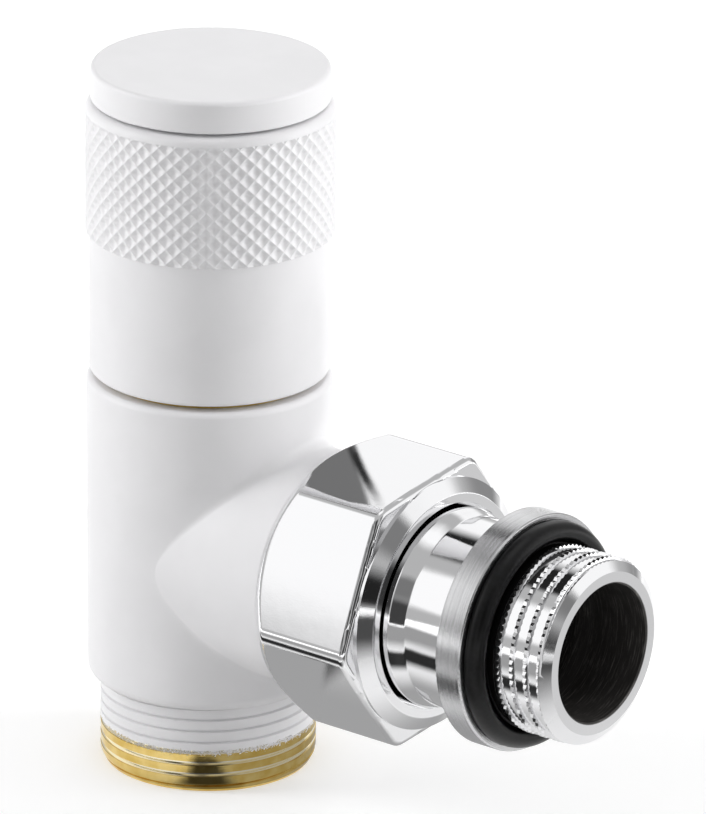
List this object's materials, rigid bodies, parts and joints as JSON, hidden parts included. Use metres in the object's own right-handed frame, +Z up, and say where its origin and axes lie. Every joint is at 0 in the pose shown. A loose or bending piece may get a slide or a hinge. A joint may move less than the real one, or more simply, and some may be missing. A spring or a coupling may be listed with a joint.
{
  "type": "angle valve",
  "caption": "Radiator angle valve: white body with an inlet thread, knurled handwheel and a chromed union nut and tailpiece with a sealing ring.",
  "frame": {"origin": "centre of the inlet thread's end face, on the spindle axis", "axes": "+Z up along the spindle, +X along the outlet towards the radiator"},
  "size_m": [0.0685, 0.0322, 0.0807],
  "materials": {
    "white_coat": "smooth satin powder coat",
    "chrome": "polished chrome plate",
    "satin_chrome": "turned, satin plated",
    "brass": "turned brass",
    "steel": "plain steel",
    "rubber": "matt black",
    "ptfe": "waxy white"
  },
  "bodies": {
    "valve": {"valve_body": "white_coat", "bonnet": "brass", "bonnet_o_ring": "rubber", "thrust_washer": "ptfe"},
    "handle": {"handwheel": "white_coat", "handwheel_washer": "steel", "handwheel_screw": "steel", "top_cap": "white_coat", "cap_o_ring": "rubber", "spindle": "brass", "spindle_o_ring_lower": "rubber", "spindle_o_ring_upper": "rubber", "spindle_circlip": "steel"},
    "plug_slide": {"plug": "brass", "plug_seal": "rubber", "seal_washer": "steel", "seal_screw": "steel"},
    "tail": {"tailpiece": "chrome", "union_o_ring": "rubber", "flange_ring": "satin_chrome", "tail_o_ring": "rubber"},
    "nut": {"union_nut": "chrome"}
  },
  "joints": [
    {"name": "handwheel_turn", "type": "hinge", "parent": "valve", "child": "handle", "pos_m": [0, 0, 0.06], "axis": [0, 0, 1], "range_deg": [0, 900]},
    {"name": "plug_lift", "type": "slide", "parent": "valve", "child": "plug_slide", "axis": [0, 0, 1], "range_m": [0, 0.00375]},
    {"name": "tail_draw", "type": "slide", "parent": "valve", "child": "tail", "axis": [1, 0, 0], "range_m": [0, 0.0075]},
    {"name": "union_nut_turn", "type": "hinge", "parent": "tail", "child": "nut", "pos_m": [0.026, 0, 0.026], "axis": [1, 0, 0], "range_deg": [0, 1800]}
  ],
  "couplings": [
    {"joint": "plug_lift", "follows": "handwheel_turn", "m_per_rad": 0.00023873},
    {"joint": "tail_draw", "follows": "union_nut_turn", "m_per_rad": 0.00023873}
  ]
}
